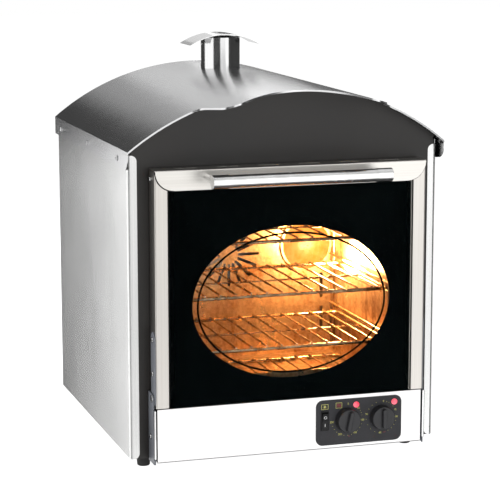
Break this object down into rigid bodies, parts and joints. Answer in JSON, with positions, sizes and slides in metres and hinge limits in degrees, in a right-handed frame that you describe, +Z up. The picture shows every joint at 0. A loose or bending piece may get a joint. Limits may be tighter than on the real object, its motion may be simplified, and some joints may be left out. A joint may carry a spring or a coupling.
{
  "type": "baked potato oven",
  "caption": "Bench-top baked potato oven with a drop-down glass door, wire racks, an arched canopy with a waved visor, a capped flue and a control panel with dials.",
  "frame": {"origin": "on the surface that the oven stands on, under the middle of its bounding box", "axes": "+X to the right as seen from the front, +Y to the back, +Z up"},
  "size_m": [0.5138, 0.6265, 0.6514],
  "materials": {
    "stainless_brushed": "fine vertical brushing",
    "stainless_door": "satin",
    "stainless_fascia": "fine brushing, bright",
    "stainless_oven": "bright, lightly heat tinted",
    "enamel_black": "satin black enamel",
    "grey_bracket": "dark grey satin",
    "steel_fastener": "bright",
    "handle_tube": "polished tube",
    "handle_sleeve": "polished",
    "glass_clear": "clear toughened glass",
    "glass_lamp": "domed oven lamp glass",
    "print_black": "opaque black ceramic print",
    "rubber_black": "matt",
    "seal_silicone": "woven seal",
    "mineral_wool": "mineral wool",
    "chrome_wire": "bright wire",
    "element_sheath": "oxidised sheath",
    "aluminium_fan": "as stamped",
    "shaft_steel": "turned",
    "motor_grey": "satin",
    "control_black": "fine texture",
    "lens_red": "moulded lens"
  },
  "bodies": {
    "cabinet": {"base_pan": "stainless_brushed", "cabinet_screws": "steel_fastener", "cap_rivets": "steel_fastener", "cap_strap": "steel_fastener", "control_bay_cover": "stainless_fascia", "control_plate": "control_black", "cord_gland": "control_black", "door_seal": "seal_silicone", "edge_strips": "stainless_fascia", "fan_baffle": "stainless_oven", "fan_motor": "motor_grey", "fascia_panel": "stainless_fascia", "floor_grid": "chrome_wire", "flue_cap": "stainless_brushed", "flue_tube": "stainless_brushed", "front_plate": "enamel_black", "hinge_brackets": "grey_bracket", "hinge_pins": "steel_fastener", "indicator_lamps": "lens_red", "insulation_blanket": "mineral_wool", "lamp_glass": "glass_lamp", "lamp_holder": "stainless_oven", "left_cheek": "grey_bracket", "left_rack_runner": "chrome_wire", "left_side_panel": "stainless_brushed", "oven_liner": "stainless_oven", "rear_panel": "stainless_brushed", "right_cheek": "grey_bracket", "right_rack_runner": "chrome_wire", "right_side_panel": "stainless_brushed", "ring_element": "element_sheath", "roof_canopy": "stainless_brushed", "rubber_feet": "rubber_black", "switch_housing": "control_black", "thermostat_body": "control_black", "thermostat_probe": "shaft_steel", "timer_body": "control_black"},
    "door": {"right_door_stile": "stainless_door", "left_door_stile": "stainless_door", "door_top_rail": "stainless_door", "door_bottom_channel": "stainless_door", "door_outer_glass": "glass_clear", "glass_print": "print_black", "door_inner_frame": "stainless_door", "door_inner_glass": "glass_clear", "handle_bar": "handle_tube", "handle_end_sleeves": "handle_sleeve", "handle_posts": "steel_fastener", "hinge_arms": "grey_bracket", "door_screws": "steel_fastener"},
    "lower_rack": {"lower_rack": "chrome_wire"},
    "middle_rack": {"middle_rack": "chrome_wire"},
    "upper_rack": {"upper_rack": "chrome_wire"},
    "fan": {"fan_impeller": "aluminium_fan", "fan_shaft": "shaft_steel"},
    "thermostat_dial": {"thermostat_knob": "control_black", "thermostat_shaft": "shaft_steel"},
    "timer_dial": {"timer_knob": "control_black", "timer_shaft": "shaft_steel"},
    "power_rocker": {"switch_rocker": "control_black"}
  },
  "joints": [
    {"name": "door_hinge", "type": "hinge", "parent": "cabinet", "child": "door", "pos_m": [0, -0.22675, 0.1225], "axis": [1, 0, 0], "range_deg": [0, 90]},
    {"name": "lower_rack_slide", "type": "slide", "parent": "cabinet", "child": "lower_rack", "axis": [0, -1, 0], "range_m": [0, 0.014]},
    {"name": "middle_rack_slide", "type": "slide", "parent": "cabinet", "child": "middle_rack", "axis": [0, -1, 0], "range_m": [0, 0.014]},
    {"name": "upper_rack_slide", "type": "slide", "parent": "cabinet", "child": "upper_rack", "axis": [0, -1, 0], "range_m": [0, 0.014]},
    {"name": "fan_spin", "type": "hinge", "parent": "cabinet", "child": "fan", "pos_m": [0, 0.11525, 0.27675], "axis": [0, -1, 0], "continuous": true},
    {"name": "thermostat_turn", "type": "hinge", "parent": "cabinet", "child": "thermostat_dial", "pos_m": [0.0913, -0.2426, 0.0674], "axis": [0, 1, 0], "range_deg": [0, 270]},
    {"name": "timer_turn", "type": "hinge", "parent": "cabinet", "child": "timer_dial", "pos_m": [0.1487, -0.2426, 0.0674], "axis": [0, 1, 0], "range_deg": [0, 300]},
    {"name": "power_rock", "type": "hinge", "parent": "cabinet", "child": "power_rocker", "pos_m": [0.0541, -0.23675, 0.0686], "axis": [1, 0, 0], "range_deg": [-16, 0]}
  ]
}
